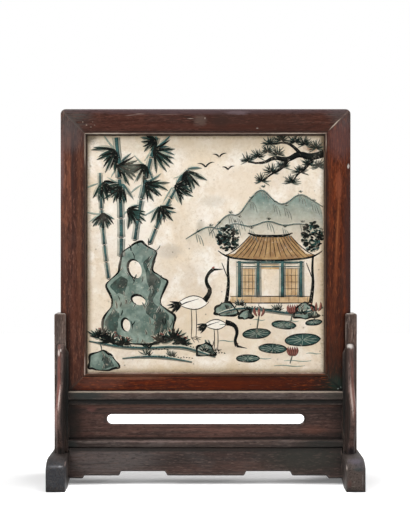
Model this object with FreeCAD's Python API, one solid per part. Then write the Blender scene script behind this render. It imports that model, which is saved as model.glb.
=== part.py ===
import FreeCAD, Part
import os
from math import radians, sqrt, tan

# A framed alabaster table screen on a hardwood stand, in millimetres.
# X runs across the screen, -Y is its front and Z is up. The origin is on the table under the stand's middle.

# Fits
slide_clearance = 0.4      # the lifting frame in its grooves, on each side
joint_clearance = 0.1      # a glued tenon, tongue or pin in its hole, on each side
panel_clearance = 0.5      # stone and boards in their rabbet, at each edge
touching = 0.1             # how near a point has to be to count as on a face

# Screen frame: four mitred members with a convex face and a bead along the sight edge
frame_width = 466.0
frame_height = 466.0
frame_thickness = 28.0
face_width = 36.0
face_rise = 2.5
bead_width = 4.5
bead_quirk = 0.8
edge_round = 4.0
back_round = 2.0
corner_round = 8.0
lip_thickness = 6.0
rabbet_depth = 9.0
mitre_tenon_offset = 9.0
mitre_tenon_height = 14.0
mitre_tenon_thickness = 8.0
mitre_tenon_stop = 5.0
corner_pin_diameter = 4.0
corner_pin_inset = 10.0
corner_pin_length = 21.0

# What the frame holds: mitred slips, the stone, three backing boards and two battens
slip_show = 2.5
slip_thickness = 3.0
slip_edge = 0.6
stone_thickness = 9.0
board_count = 3
board_thickness = 5.0
board_tongue = 3.0
board_tongue_thickness = 1.8
batten_width = 26.0
batten_inset = 95.0
batten_bearing = 12.0
batten_round = 1.5
batten_pin_diameter = 4.0
batten_pin_length = 12.0

# Posts, grooved on their inner faces for the frame
post_depth = 50.0
post_height = 222.0
post_overlap = 13.5
post_neck_overlap = 9.5
post_shoulder_height = 159.0
post_shoulder_slope = 8.0
post_wall = 8.5
post_round = 3.0
post_tenon_width = 12.0
post_tenon_depth = 30.0
post_tenon_length = 30.0

# Feet that run from front to back
foot_length = 220.0
foot_height = 50.0
foot_inner_ledge = 2.0
foot_outer_ledge = 5.5
foot_end_height = 36.0
foot_shoulder_length = 40.0
foot_brow = 5.0
foot_brow_round = 1.2
foot_pad_length = 50.0
foot_arch_rise = 8.0
foot_round = 3.0
foot_pin_diameter = 6.0
foot_pin_height = 32.0

# Standing spandrels, a vase outline measured from the post's face and from the top of the foot
spandrel_thickness = 12.0
spandrel_base_reach = 17.0
spandrel_belly_reach = 55.0
spandrel_belly_height = 62.0
spandrel_neck_reach = 13.0
spandrel_neck_height = 118.0
spandrel_height = 174.0
spandrel_head_round = 12.0
spandrel_round = 4.0
spandrel_tenon_width = 5.0
spandrel_tenon_height = 20.0
spandrel_tenon_reach = 6.0
spandrel_tenon_level = 108.0
spandrel_tenon_offset = 8.0
spandrel_foot_tenon_depth = 10.0

# Cross rails and the slotted panel between them
lower_rail_gap = 6.5
lower_rail_height = 13.0
rail_depth = 44.0
rail_round = 4.0
rail_tenon_length = 12.0
rail_tenon_depth = 20.0
rail_tenon_shoulder = 2.0
slotted_panel_height = 56.5
slotted_panel_thickness = 14.0
panel_tongue = 3.0
panel_tongue_thickness = 5.0
slot_length = 318.0
slot_height = 16.3
slot_level = 31.6
slot_round = 1.5
upper_rail_web = 8.0
upper_rail_groove = 13.8
nose_height = 12.8
cove_radius = 6.0

# Slanted aprons with stepped lower edges, measured down the board from its upper edge
apron_thickness = 10.0
apron_reach = 22.0
apron_slant = 21.5
apron_end_drop = 46.5
apron_flat_drop = 41.8
apron_notch_drop = 34.8
apron_end_length = 20.0
apron_notch_near = 66.0
apron_notch_far = 133.5
apron_step = 6.0
apron_round = 1.0
apron_tongue = 6.0
apron_tongue_thickness = 5.0
apron_tongue_top = 14.0
apron_tongue_bottom = 33.0

# Places that follow from the sizes above
front = -frame_thickness / 2
back = frame_thickness / 2
member_width = face_width + bead_width
rabbet_edge = member_width - rabbet_depth
rabbet_front = front + lip_thickness
stone_front = rabbet_front + slip_thickness
board_front = stone_front + stone_thickness
board_back = board_front + board_thickness
half_width = frame_width / 2
lower_rail_bottom = foot_height + lower_rail_gap
lower_rail_top = lower_rail_bottom + lower_rail_height
upper_rail_bottom = lower_rail_top + slotted_panel_height
frame_bottom = upper_rail_bottom + upper_rail_web
upper_rail_top = frame_bottom + upper_rail_groove
frame_top = frame_bottom + frame_height
frame_middle = frame_bottom + frame_height / 2
sight_bottom = frame_bottom + member_width
sight_top = frame_top - member_width
groove_half_depth = frame_thickness / 2 + slide_clearance
groove_end = half_width + slide_clearance
post_inner = half_width - post_overlap
post_outer = groove_end + post_wall
post_middle = (post_inner + post_outer) / 2
post_face = post_depth / 2
post_top = foot_height + post_height
foot_inner = post_inner - foot_inner_ledge
foot_outer = post_outer + foot_outer_ledge


def V(x, y, z):
    return FreeCAD.Vector(x, y, z)


def in_yz(a, b):
    return V(0, a, b)


def in_xz(a, b):
    return V(a, 0, b)


def drawn_face(plane, start, *steps):
    """A closed face: a step of one point is a line, of two an arc, and of three a smooth curve."""
    here = plane(*start)
    edges = []
    for step in steps:
        points = [plane(*point) for point in step]
        if len(points) == 1:
            edges.append(Part.makeLine(here, points[0]))
        elif len(points) == 2:
            edges.append(Part.Arc(here, points[0], points[1]).toShape())
        else:
            curve = Part.BezierCurve()
            curve.setPoles([here] + points)
            edges.append(curve.toShape())
        here = points[-1]
    return Part.Face(Part.Wire(edges))


def block(x, y, z):
    """A box between a pair of limits on each axis."""
    return Part.makeBox(x[1] - x[0], y[1] - y[0], z[1] - z[0], V(x[0], y[0], z[0]))


def grown(x, y, z, gap):
    """The same box with a gap added on all sides."""
    return block((x[0] - gap, x[1] + gap), (y[0] - gap, y[1] + gap), (z[0] - gap, z[1] + gap))


def across(shape):
    """The mirror image on the other side of the screen."""
    return shape.mirror(V(0, 0, 0), V(1, 0, 0))


def behind(shape):
    """The mirror image on the back of the screen."""
    return shape.mirror(V(0, 0, 0), V(0, 1, 0))


def eased(shape, radius, wanted):
    """The shape with the edges whose middle point is wanted rounded over."""
    edges = [edge for edge in shape.Edges if wanted(edge.BoundBox.Center)]
    return shape.makeFillet(radius, edges)


def corner_arc(centre, radius, along_a, along_b):
    """The middle and end of a quarter round about a centre, from one axis direction to the other."""
    slant = radius / sqrt(2)
    middle = (centre[0] + slant * (along_a[0] + along_b[0]), centre[1] + slant * (along_a[1] + along_b[1]))
    end = (centre[0] + radius * along_b[0], centre[1] + radius * along_b[1])
    return [middle, end]


def member_section():
    """Section of a frame member: depth on Y, and distance inwards from the outer edge on Z."""
    face_radius = ((face_width / 2) ** 2 + face_rise ** 2) / (2 * face_rise)
    face_centre = front + face_radius
    # The outer round touches both the member's side and the convex face
    reach = face_radius - edge_round
    round_y = face_centre - sqrt(reach ** 2 - (face_width / 2 - edge_round) ** 2)
    lean_z = (edge_round - face_width / 2) / reach
    lean_y = (round_y - face_centre) / reach
    meeting = (face_centre + face_radius * lean_y, face_width / 2 + face_radius * lean_z)
    half_turn = sqrt((lean_z - 1) ** 2 + lean_y ** 2)
    round_middle = (round_y + edge_round * lean_y / half_turn,
                    edge_round + edge_round * (lean_z - 1) / half_turn)
    quirk = front + face_rise + bead_quirk
    return drawn_face(
        in_yz, (round_y, 0),
        [round_middle, meeting],
        [(front, face_width / 2), (front + face_rise, face_width)],
        [(quirk, face_width)],
        [(quirk - bead_width / 2, face_width + bead_width / 2), (quirk, member_width)],
        [(rabbet_front, member_width)],
        [(rabbet_front, rabbet_edge)],
        [(back, rabbet_edge)],
        [(back, back_round)],
        corner_arc((back - back_round, back_round), back_round, (1, 0), (0, -1)),
        [(round_y, 0)])


def mitred(section, length, near, far, rounded_ends):
    """A section run along X and mitred; near and far are the section's limits inwards from the outer edge."""
    half = length / 2
    bar = section.extrude(V(length, 0, 0))
    bar.translate(V(-half, 0, 0))
    depth = section.BoundBox.YLength
    for end in rounded_ends:
        # The end's outer corner is the same section turned about the corner's centre
        strip = section.common(block((-1, 1), (front, back), (0, corner_round)))
        strip.translate(V(half - corner_round, 0, 0))
        turned = strip.revolve(V(half - corner_round, 0, corner_round), V(0, -1, 0), 90)
        square = block((half - corner_round, half), (front, back), (0, corner_round))
        if end < 0:
            turned = across(turned)
            square = across(square)
        bar = bar.cut(square).fuse(turned)
    ends = drawn_face(
        in_xz, (near - half, near),
        [(half - near, near)],
        [(half - far, far)],
        [(far - half, far)],
        [(near - half, near)]).extrude(V(0, depth, 0))
    ends.translate(V(0, section.BoundBox.YMin, 0))
    return bar.common(ends).removeSplitter()


def set_on_side(shape, side):
    """A piece made along X with its outer edge at Z = 0, moved to one side of the frame."""
    turn = {"bottom": 0, "left": 90, "top": 180, "right": -90}[side]
    place = {"bottom": V(0, 0, frame_bottom), "top": V(0, 0, frame_top),
             "left": V(-half_width, 0, frame_middle), "right": V(half_width, 0, frame_middle)}[side]
    moved = shape.copy()
    moved.rotate(V(0, 0, 0), V(0, 1, 0), turn)
    moved.translate(place)
    return moved


def frame_joint(x_side, z_side):
    """Limits of the tenon that joins a rail to a stile at one corner of the frame."""
    x = sorted((x_side * (half_width - member_width), x_side * (half_width - mitre_tenon_stop)))
    edge = frame_bottom if z_side < 0 else frame_top
    z = sorted((edge - z_side * mitre_tenon_offset,
                edge - z_side * (mitre_tenon_offset + mitre_tenon_height)))
    y = (-mitre_tenon_thickness / 2, mitre_tenon_thickness / 2)
    return x, y, z


def corner_pin(x_side, z_side, gap):
    """A pin, or with a gap its hole, driven from the back through a corner's tenon."""
    x, y, z = frame_joint(x_side, z_side)
    at = V(x_side * (half_width - corner_pin_inset), back, (z[0] + z[1]) / 2)
    return Part.makeCylinder(corner_pin_diameter / 2 + gap, corner_pin_length + gap, at, V(0, -1, 0))


def batten_levels():
    return (sight_bottom + batten_inset, sight_top - batten_inset)


def batten_limits(level):
    """Limits of a batten that is let into the backs of both stiles."""
    reach = half_width - rabbet_edge + batten_bearing
    return (-reach, reach), (board_back, back), (level - batten_width / 2, level + batten_width / 2)


def batten_pin(x_side, level, gap):
    """A pin, or with a gap its hole, through one end of a batten into the stile."""
    at = V(x_side * (half_width - rabbet_edge + batten_bearing / 2), back, level)
    return Part.makeCylinder(batten_pin_diameter / 2 + gap, batten_pin_length + gap, at, V(0, -1, 0))


def frame_members():
    """Rails with tenons and stiles with mortises, mitred on the face and pinned from the back."""
    section = member_section()
    rail = mitred(section, frame_width, 0, member_width, ())
    crest = mitred(section, frame_width, 0, member_width, (1, -1))
    right = mitred(section, frame_height, 0, member_width, (1,))
    left = mitred(section, frame_height, 0, member_width, (-1,))
    pieces = {}
    for name, blank, side, z_side in (("frame_bottom_rail", rail, "bottom", -1),
                                      ("frame_top_rail", crest, "top", 1)):
        piece = set_on_side(blank, side)
        for x_side in (-1, 1):
            piece = piece.fuse(block(*frame_joint(x_side, z_side)))
            piece = piece.cut(corner_pin(x_side, z_side, joint_clearance))
        pieces[name] = piece.removeSplitter()
    for name, blank, side, x_side in (("frame_left_stile", left, "left", -1),
                                      ("frame_right_stile", right, "right", 1)):
        piece = set_on_side(blank, side)
        for z_side in (-1, 1):
            piece = piece.cut(grown(*frame_joint(x_side, z_side), joint_clearance))
            piece = piece.cut(corner_pin(x_side, z_side, joint_clearance))
        for level in batten_levels():
            x, y, z = batten_limits(level)
            piece = piece.cut(grown(x, (y[0] + joint_clearance, y[1]), z, joint_clearance))
            piece = piece.cut(batten_pin(x_side, level, joint_clearance))
        pieces[name] = piece
    return pieces


def sight_slips():
    """Four mitred strips behind the frame's lip, bevelled towards the stone."""
    outer = rabbet_edge + panel_clearance
    inner = member_width + slip_show
    section = drawn_face(
        in_yz, (rabbet_front, outer),
        [(rabbet_front, member_width)],
        [(stone_front - slip_edge, inner)],
        [(stone_front, inner)],
        [(stone_front, outer)],
        [(rabbet_front, outer)])
    flat = mitred(section, frame_width, outer, inner, ())
    upright = mitred(section, frame_height, outer, inner, ())
    return {"slip_bottom": set_on_side(flat, "bottom"), "slip_top": set_on_side(flat, "top"),
            "slip_left": set_on_side(upright, "left"), "slip_right": set_on_side(upright, "right")}


def alabaster_panel():
    """The stone, a flat slab against the slips."""
    reach = half_width - rabbet_edge - panel_clearance
    rise = frame_height / 2 - rabbet_edge - panel_clearance
    return block((-reach, reach), (stone_front, board_front), (frame_middle - rise, frame_middle + rise))


def backing_boards():
    """Upright boards behind the stone, joined by a tongue on each right-hand edge."""
    reach = half_width - rabbet_edge - panel_clearance
    rise = frame_height / 2 - rabbet_edge - panel_clearance
    z = (frame_middle - rise, frame_middle + rise)
    step = 2 * reach / board_count
    middle = (board_front + board_back) / 2
    tongue_y = (middle - board_tongue_thickness / 2, middle + board_tongue_thickness / 2)
    boards = []
    for n in range(board_count):
        left = n * step - reach
        board = block((left, left + step), (board_front, board_back), z)
        if n > 0:
            board = board.cut(grown((left, left + board_tongue), tongue_y, z, joint_clearance))
        if n < board_count - 1:
            tongue = block((left + step, left + step + board_tongue), tongue_y, z)
            board = board.fuse(tongue).removeSplitter()
        boards.append(board)
    return boards


def back_batten(level):
    """A flat bar across the boards, flush with the frame's back, its back edges eased."""
    x, y, z = batten_limits(level)
    bar = block(x, y, z)
    bar = eased(bar, batten_round, lambda c: abs(c.y - back) < touching and abs(c.x) < touching)
    for x_side in (-1, 1):
        bar = bar.cut(batten_pin(x_side, level, joint_clearance))
    return bar


def rail_tenon(bottom, top):
    """Limits of a cross rail's tenon in the right-hand post."""
    return ((post_inner, post_inner + rail_tenon_length), (-rail_tenon_depth / 2, rail_tenon_depth / 2),
            (bottom + rail_tenon_shoulder, top - rail_tenon_shoulder))


def lower_rail_tenon():
    return rail_tenon(lower_rail_bottom, lower_rail_top)


def upper_rail_tenon():
    return rail_tenon(upper_rail_bottom, frame_bottom)


def panel_tongue_limits():
    """Limits of the tongue round the slotted panel."""
    y = (-panel_tongue_thickness / 2, panel_tongue_thickness / 2)
    return ((-post_inner - panel_tongue, post_inner + panel_tongue), y,
            (lower_rail_top - panel_tongue, upper_rail_bottom + panel_tongue))


def post_tenon():
    """Limits of the right-hand post's tenon in its foot."""
    return ((post_middle - post_tenon_width / 2, post_middle + post_tenon_width / 2),
            (-post_tenon_depth / 2, post_tenon_depth / 2), (foot_height - post_tenon_length, foot_height))


def spandrel_post_tenon():
    """Limits of the loose tenon between the right front spandrel and its post."""
    level = foot_height + spandrel_tenon_level
    return ((post_middle - spandrel_tenon_width / 2, post_middle + spandrel_tenon_width / 2),
            (-post_face - spandrel_tenon_reach, spandrel_tenon_reach - post_face),
            (level - spandrel_tenon_height / 2, level + spandrel_tenon_height / 2))


def spandrel_foot_tenon():
    """Limits of the loose tenon between the right front spandrel and its foot."""
    place = -post_face - spandrel_tenon_offset
    return ((post_middle - spandrel_tenon_width / 2, post_middle + spandrel_tenon_width / 2),
            (place - spandrel_foot_tenon_depth / 2, place + spandrel_foot_tenon_depth / 2),
            (foot_height - spandrel_tenon_reach, foot_height + spandrel_tenon_reach))


def foot_pin(gap):
    """A pin, or with a gap its hole, through the right foot and the post's tenon."""
    start = V(foot_inner - gap, 0, foot_pin_height)
    length = foot_outer - foot_inner + 2 * gap
    return Part.makeCylinder(foot_pin_diameter / 2 + gap, length, start, V(1, 0, 0))


def right_post():
    """A post with a shouldered inner edge and the groove that the frame slides down."""
    neck = half_width - post_neck_overlap
    shoulder = foot_height + post_shoulder_height
    blank = drawn_face(
        in_xz, (post_inner, foot_height),
        [(post_inner, shoulder)],
        [(neck, shoulder + post_shoulder_slope)],
        [(neck, post_top)],
        [(post_outer, post_top)],
        [(post_outer, foot_height)],
        [(post_inner, foot_height)]).extrude(V(0, post_depth, 0))
    blank.translate(V(0, -post_face, 0))
    post = eased(blank, post_round,
                 lambda c: abs(c.z - post_top) < touching
                 or (abs(c.x - post_outer) < touching and abs(c.y) > touching))
    groove = block((post_inner, groove_end), (-groove_half_depth, groove_half_depth),
                   (frame_bottom, post_top))
    post = post.cut(groove)
    post = post.cut(grown(*lower_rail_tenon(), joint_clearance))
    post = post.cut(grown(*upper_rail_tenon(), joint_clearance))
    post = post.cut(grown(*panel_tongue_limits(), joint_clearance))
    for side in (lambda shape: shape, behind):
        post = post.cut(side(grown(*spandrel_post_tenon(), joint_clearance)))
    post = post.fuse(block(*post_tenon())).removeSplitter()
    return post.cut(foot_pin(joint_clearance))


def foot_outline():
    """Side outline of a foot: upright ends, round shoulders above a brow, a flat top and an arch below."""
    end = foot_length / 2
    flat = end - foot_shoulder_length
    arch = end - foot_pad_length
    round_share = 0.55
    rise = round_share * (foot_height - foot_end_height)
    run = round_share * foot_shoulder_length
    return drawn_face(
        in_yz, (-end, 0),
        [(-end, foot_end_height)],
        [(foot_brow - end, foot_end_height + rise), (-flat - run, foot_height), (-flat, foot_height)],
        [(flat, foot_height)],
        [(flat + run, foot_height), (end - foot_brow, foot_end_height + rise), (end, foot_end_height)],
        [(end, 0)],
        [(arch, 0)],
        [(0, foot_arch_rise), (-arch, 0)],
        [(-end, 0)])


def right_foot():
    """A foot with the sockets for its post, spandrels and aprons."""
    blank = foot_outline().extrude(V(foot_outer - foot_inner, 0, 0))
    blank.translate(V(foot_inner, 0, 0))
    middle = (foot_inner + foot_outer) / 2
    blank = eased(blank, foot_brow_round, lambda c: (abs(c.z - foot_end_height) < touching
                                                     and abs(c.x - middle) < touching))
    foot = eased(blank, foot_round, lambda c: c.z > foot_end_height / 3 and abs(c.x - middle) > touching)
    foot = foot.cut(grown(*post_tenon(), joint_clearance))
    foot = foot.cut(foot_pin(joint_clearance))
    for side in (lambda shape: shape, behind):
        foot = foot.cut(side(grown(*spandrel_foot_tenon(), joint_clearance)))
        foot = foot.cut(side(apron_set(grown(*apron_tongue_limits(), joint_clearance))))
    return foot


def right_front_spandrel():
    """A vase-shaped bracket between the foot and the front of its post, its outer edges rounded."""
    base = -post_face
    belly = (base - spandrel_belly_reach, foot_height + spandrel_belly_height)
    neck = (base - spandrel_neck_reach, foot_height + spandrel_neck_height)
    head = (base - spandrel_head_round, foot_height + spandrel_height - spandrel_head_round)
    toe = (base - spandrel_base_reach, foot_height)
    pull = 0.45
    low_pull = pull * spandrel_belly_height
    mid_pull = pull * (spandrel_neck_height - spandrel_belly_height)
    top_pull = pull * (head[1] - neck[1])
    outline = drawn_face(
        in_yz, (base, foot_height),
        [toe],
        [(toe[0], toe[1] + low_pull), (belly[0], belly[1] - low_pull), belly],
        [(belly[0], belly[1] + mid_pull), (neck[0], neck[1] - mid_pull), neck],
        [(neck[0], neck[1] + top_pull), (head[0], head[1] - top_pull), head],
        corner_arc((base, head[1]), spandrel_head_round, (-1, 0), (0, 1)),
        [(base, foot_height)])
    blank = outline.extrude(V(spandrel_thickness, 0, 0))
    blank.translate(V(post_middle - spandrel_thickness / 2, 0, 0))
    spandrel = eased(blank, spandrel_round,
                     lambda c: (abs(c.x - post_middle) > touching and c.y < base - touching
                                and c.z > foot_height + touching))
    spandrel = spandrel.cut(grown(*spandrel_post_tenon(), joint_clearance))
    return spandrel.cut(grown(*spandrel_foot_tenon(), joint_clearance))


def along_rail(section):
    """A rail's section run between the two posts."""
    rail = section.extrude(V(2 * post_inner, 0, 0))
    rail.translate(V(-post_inner, 0, 0))
    return rail


def with_tenons(rail, limits):
    """A rail with the same tenon at both ends and the groove for the slotted panel's tongue."""
    rail = rail.fuse(block(*limits)).fuse(across(block(*limits))).removeSplitter()
    return rail.cut(grown(*panel_tongue_limits(), joint_clearance))


def lower_cross_rail():
    """The plain lower rail, its four long edges rounded."""
    half = rail_depth / 2
    low = lower_rail_bottom
    high = lower_rail_top
    r = rail_round
    section = drawn_face(
        in_yz, (-half, low + r),
        [(-half, high - r)],
        corner_arc((r - half, high - r), r, (-1, 0), (0, 1)),
        [(half - r, high)],
        corner_arc((half - r, high - r), r, (0, 1), (1, 0)),
        [(half, low + r)],
        corner_arc((half - r, low + r), r, (1, 0), (0, -1)),
        [(r - half, low)],
        corner_arc((r - half, low + r), r, (0, -1), (-1, 0)))
    return with_tenons(along_rail(section), lower_rail_tenon())


def upper_cross_rail():
    """The upper rail: a deep groove on top takes the frame, and a cove runs under each nose."""
    half = rail_depth / 2
    low = upper_rail_bottom
    high = upper_rail_top
    r = rail_round
    cove = cove_radius
    nose = high - nose_height
    g = groove_half_depth
    section = drawn_face(
        in_yz, (cove - half, low),
        [(cove - half, nose - cove)],
        corner_arc((-half, nose - cove), cove, (1, 0), (0, 1)),
        [(-half, high - r)],
        corner_arc((r - half, high - r), r, (-1, 0), (0, 1)),
        [(-g, high)],
        [(-g, frame_bottom)],
        [(g, frame_bottom)],
        [(g, high)],
        [(half - r, high)],
        corner_arc((half - r, high - r), r, (0, 1), (1, 0)),
        [(half, nose)],
        corner_arc((half, nose - cove), cove, (0, 1), (-1, 0)),
        [(half - cove, low)],
        [(cove - half, low)])
    return with_tenons(along_rail(section), upper_rail_tenon())


def slotted_panel():
    """The recessed panel between the rails, pierced by one long slot with round ends."""
    half = slotted_panel_thickness / 2
    board = block((-post_inner, post_inner), (-half, half), (lower_rail_top, upper_rail_bottom))
    level = lower_rail_top + slot_level
    r = slot_height / 2
    end = slot_length / 2 - r
    slot = drawn_face(
        in_xz, (-end, level - r),
        [(end, level - r)],
        [(end + r, level), (end, level + r)],
        [(-end, level + r)],
        [(-end - r, level), (-end, level - r)]).extrude(V(0, slotted_panel_thickness, 0))
    slot.translate(V(0, -half, 0))
    board = board.cut(slot)
    board = eased(board, slot_round,
                  lambda c: (abs(c.z - level) < r + touching and abs(c.x) < slot_length / 2 + touching
                             and abs(c.y) > touching))
    tongue = block(*panel_tongue_limits()).cut(
        block((-post_inner, post_inner), (-half, half), (lower_rail_top, upper_rail_bottom)))
    return board.fuse(tongue).removeSplitter()


def apron_set(shape):
    """A piece drawn on an upright front board, leaned out at the foot and hung under the lower rail."""
    moved = shape.copy()
    moved.rotate(V(0, 0, 0), V(1, 0, 0), -apron_slant)
    moved.translate(V(0, -apron_reach, lower_rail_bottom))
    return moved


def apron_tongue_limits():
    """Limits, on the upright board, of the tongue in the right foot."""
    middle = apron_thickness / 2
    return ((foot_inner, foot_inner + apron_tongue),
            (middle - apron_tongue_thickness / 2, middle + apron_tongue_thickness / 2),
            (-apron_tongue_bottom, -apron_tongue_top))


def front_apron():
    """A slanted board with stepped, scroll-like drops along its lower edge and a tongue at each end."""
    spare = apron_thickness * tan(radians(apron_slant))
    # Right half of the lower edge from the middle out: each step is an S-shaped rise or drop
    steps = ((apron_notch_near - apron_step, apron_flat_drop, apron_notch_drop),
             (apron_notch_far, apron_notch_drop, apron_flat_drop),
             (foot_inner - apron_end_length - apron_step, apron_flat_drop, apron_end_drop))
    edge = []
    for start, before, after in steps:
        middle = start + apron_step / 2
        edge.append([(start, -before)])
        edge.append([(middle, -before), (middle, -after), (start + apron_step, -after)])
    mirrored = []
    for start, before, after in reversed(steps):
        middle = -start - apron_step / 2
        mirrored.append([(-start - apron_step, -after)])
        mirrored.append([(middle, -after), (middle, -before), (-start, -before)])
    board = drawn_face(
        in_xz, (-foot_inner, spare),
        [(-foot_inner, -apron_end_drop)],
        *mirrored,
        *edge,
        [(foot_inner, -apron_end_drop)],
        [(foot_inner, spare)],
        [(-foot_inner, spare)]).extrude(V(0, apron_thickness, 0))
    board = eased(board, apron_round,
                  lambda c: (abs(c.y) < touching and c.z < -apron_notch_drop / 2
                             and abs(c.x) < foot_inner - touching))
    board = board.fuse(block(*apron_tongue_limits())).fuse(across(block(*apron_tongue_limits())))
    board = apron_set(board.removeSplitter())
    above = block((-foot_inner, foot_inner), (-foot_length, foot_length),
                  (lower_rail_bottom, lower_rail_bottom + apron_thickness + spare))
    return board.cut(above)


def group(shapes):
    return Part.makeCompound(shapes)


def all_four(shape):
    """The piece at the right front, and its mirror images at the other three posts."""
    return [shape, across(shape), behind(shape), behind(across(shape))]


nodes = frame_members()
nodes.update(sight_slips())
nodes["alabaster_panel"] = alabaster_panel()
for place, board in zip(("left", "centre", "right"), backing_boards()):
    nodes["back_board_" + place] = board
for place, level in zip(("lower", "upper"), batten_levels()):
    nodes[place + "_back_batten"] = back_batten(level)
nodes["corner_pins"] = group([corner_pin(x, z, 0) for x in (-1, 1) for z in (-1, 1)])
nodes["batten_pins"] = group([batten_pin(x, level, 0) for x in (-1, 1) for level in batten_levels()])
nodes["right_post"] = right_post()
nodes["left_post"] = across(nodes["right_post"])
nodes["right_foot"] = right_foot()
nodes["left_foot"] = across(nodes["right_foot"])
spandrels = all_four(right_front_spandrel())
for place, spandrel in zip(("right_front", "left_front", "right_rear", "left_rear"), spandrels):
    nodes[place + "_spandrel"] = spandrel
nodes["spandrel_tenons"] = group(all_four(block(*spandrel_post_tenon()))
                                 + all_four(block(*spandrel_foot_tenon())))
nodes["foot_pins"] = group([foot_pin(0), across(foot_pin(0))])
nodes["lower_cross_rail"] = lower_cross_rail()
nodes["upper_cross_rail"] = upper_cross_rail()
nodes["slotted_panel"] = slotted_panel()
nodes["front_apron"] = front_apron()
nodes["rear_apron"] = behind(nodes["front_apron"])

os.makedirs("parts", exist_ok=True)
for name, shape in nodes.items():
    shape.exportStep("parts/" + name + ".step")
    sound = shape.isValid() and all(solid.Volume > 0 for solid in shape.Solids)
    state = "sound" if sound else "FAULTY"
    print(f"{name}: {len(shape.Solids)} solid(s), {shape.Volume / 1000:.1f} cm3, {state}")
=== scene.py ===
import math
import random

import bpy
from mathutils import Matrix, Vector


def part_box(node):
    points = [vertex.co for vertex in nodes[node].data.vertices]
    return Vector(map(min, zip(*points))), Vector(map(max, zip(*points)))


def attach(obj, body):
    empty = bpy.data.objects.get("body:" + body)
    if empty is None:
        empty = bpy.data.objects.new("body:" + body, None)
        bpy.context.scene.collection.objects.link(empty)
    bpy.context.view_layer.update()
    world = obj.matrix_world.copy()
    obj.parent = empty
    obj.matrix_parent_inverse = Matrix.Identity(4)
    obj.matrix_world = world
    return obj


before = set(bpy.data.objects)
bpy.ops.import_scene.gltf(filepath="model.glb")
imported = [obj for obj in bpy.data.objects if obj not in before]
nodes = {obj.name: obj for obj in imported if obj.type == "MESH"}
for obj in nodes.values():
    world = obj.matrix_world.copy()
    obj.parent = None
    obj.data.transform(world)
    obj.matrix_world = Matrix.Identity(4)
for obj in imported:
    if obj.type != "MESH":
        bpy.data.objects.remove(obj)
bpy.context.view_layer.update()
bpy.ops.object.select_all(action="DESELECT")


# Feet: two blocks of dark hardwood that run from front to back and carry everything else.
# Sawn with a curved shoulder at each end and an arch below, eased by hand and waxed.
# The wood is the stand's: a rosewood gone grey-brown with age, its grain along each piece.
MM = 0.001


def linear(hex_code):
    """An sRGB hex colour as linear red, green, blue and a full alpha."""
    shares = [int(hex_code[i : i + 2], 16) / 255 for i in (0, 2, 4)]
    return (*[s / 12.92 if s <= 0.04045 else ((s + 0.055) / 1.055) ** 2.4 for s in shares], 1.0)


def plug(tree, node, inputs):
    """Sets inputs of a node: to a value, or linked from a socket or from the first live output of a node."""
    for name, value in inputs.items():
        if isinstance(value, bpy.types.Node):
            value = next(socket for socket in value.outputs if socket.enabled)
        if isinstance(value, bpy.types.NodeSocket):
            tree.links.new(value, node.inputs[name])
        else:
            node.inputs[name].default_value = value


def add_node(tree, kind, inputs=None, **settings):
    """Adds a shader node with its settings and its inputs."""
    made = tree.nodes.new("ShaderNode" + kind)
    for name, value in settings.items():
        setattr(made, name, value)
    plug(tree, made, inputs or {})
    return made


def new_material(name):
    """A material, its tree and shader, and the place on the object that all its patterns are laid out by."""
    material = bpy.data.materials.new(name)
    material.use_nodes = True
    tree = material.node_tree
    place = add_node(tree, "TexCoord").outputs["Object"]
    return material, tree, tree.nodes["Principled BSDF"], place


def dress(material, *names):
    """Gives the named pieces of the frame this material, all over."""
    for name in names:
        for slot in nodes[name].material_slots:
            slot.material = material


def patch_coats(tree, place, ragged, patches):
    """Stains, painted shade and painted highlights with soft, ragged edges: each is a centre and three radii
    in mm, a colour and a strength, and it may be turned by some degrees as seen from the front."""
    gone, full = 1.55, 0.95
    coats = []
    for centre, radii, hex_code, most, *turn in patches:
        apart = add_node(tree, "Mapping", {"Vector": place, "Location": [c * MM for c in centre],
                                           "Rotation": (0, -math.radians(sum(turn)), 0),
                                           "Scale": [r * MM for r in radii]}, vector_type="TEXTURE")
        reach = add_node(tree, "VectorMath", {0: apart}, operation="LENGTH")
        torn = add_node(tree, "Math", {0: ragged, 1: reach}, operation="ADD")
        coats.append((add_node(tree, "MapRange", {0: torn, 1: gone, 2: full, 4: most}), hex_code))
    return coats


def layered(tree, colour, coats):
    """A colour under coats of other colours, each laid on by its share."""
    for share, hex_code in coats:
        colour = add_node(tree, "Mix", {0: share, 6: colour, 7: linear(hex_code)}, data_type="RGBA")
    return colour


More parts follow.
